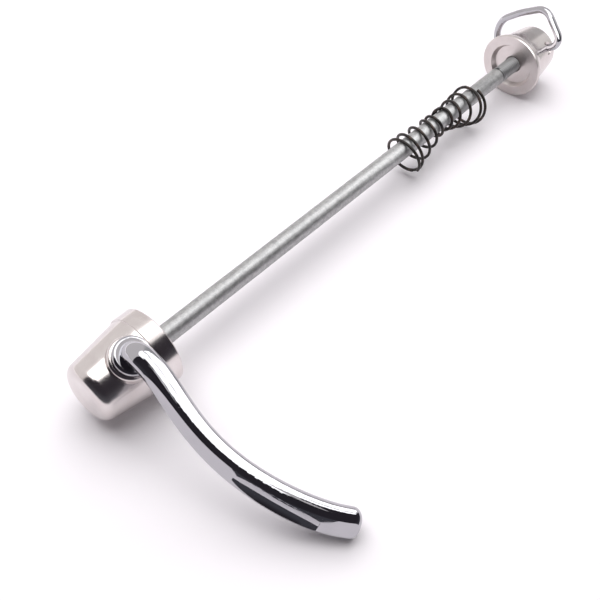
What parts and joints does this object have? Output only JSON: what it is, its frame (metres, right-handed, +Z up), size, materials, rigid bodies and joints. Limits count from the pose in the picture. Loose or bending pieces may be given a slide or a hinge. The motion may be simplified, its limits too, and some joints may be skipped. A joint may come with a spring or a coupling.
{
  "type": "quick release skewer",
  "caption": "Quick release wheel skewer: steel rod with a cam lever and housing at one end, an adjusting nut with a wire bail at the other, and conical springs.",
  "frame": {"origin": "on the table, under the middle of the box around the whole skewer", "axes": "+X along the rod from the lever end to the nut end, +Z up from the table"},
  "size_m": [0.1852, 0.0785, 0.0254],
  "materials": {
    "polished_alloy": "polished",
    "chromed_steel": "mirror",
    "zinc_steel": "dull zinc plate",
    "black_steel": "satin black",
    "plain_steel": "plain",
    "lock_plastic": "matt"
  },
  "bodies": {
    "housing": {"cam_housing": "polished_alloy", "spindle_washer": "plain_steel"},
    "lever": {"cam_lever": "chromed_steel", "retaining_ring": "plain_steel"},
    "rod": {"skewer_rod": "zinc_steel"},
    "lever_spring": {"lever_side_spring": "black_steel"},
    "nut_spring": {"nut_side_spring": "black_steel"},
    "nut": {"adjusting_nut": "polished_alloy", "thread_lock_ring": "lock_plastic"},
    "bail": {"wire_bail": "chromed_steel"}
  },
  "joints": [
    {"name": "lever_pivot", "type": "hinge", "parent": "housing", "child": "lever", "pos_m": [-0.082, 0.02487, 0.01], "axis": [0, 0.5105, -0.8599], "range_deg": [0, 180]},
    {"name": "rod_pull", "type": "slide", "parent": "housing", "child": "rod", "axis": [1, 0, 0], "range_m": [0, 0.0014]},
    {"name": "lever_spring_slide", "type": "slide", "parent": "rod", "child": "lever_spring", "axis": [1, 0, 0], "range_m": [-0.0938, 0.0006]},
    {"name": "nut_spring_slide", "type": "slide", "parent": "rod", "child": "nut_spring", "axis": [1, 0, 0], "range_m": [-0.0006, 0.0203]},
    {"name": "nut_turn", "type": "hinge", "parent": "rod", "child": "nut", "pos_m": [0.078, 0.02487, 0.01], "axis": [1, 0, 0], "continuous": true},
    {"name": "bail_pivot", "type": "hinge", "parent": "nut", "child": "bail", "pos_m": [0.0885, 0.02487, 0.01], "axis": [0, -0.829, 0.5592], "range_deg": [-201, 49]}
  ],
  "couplings": [
    {"joint": "rod_pull", "follows": "lever_pivot", "m_per_rad": 0.00044563}
  ]
}
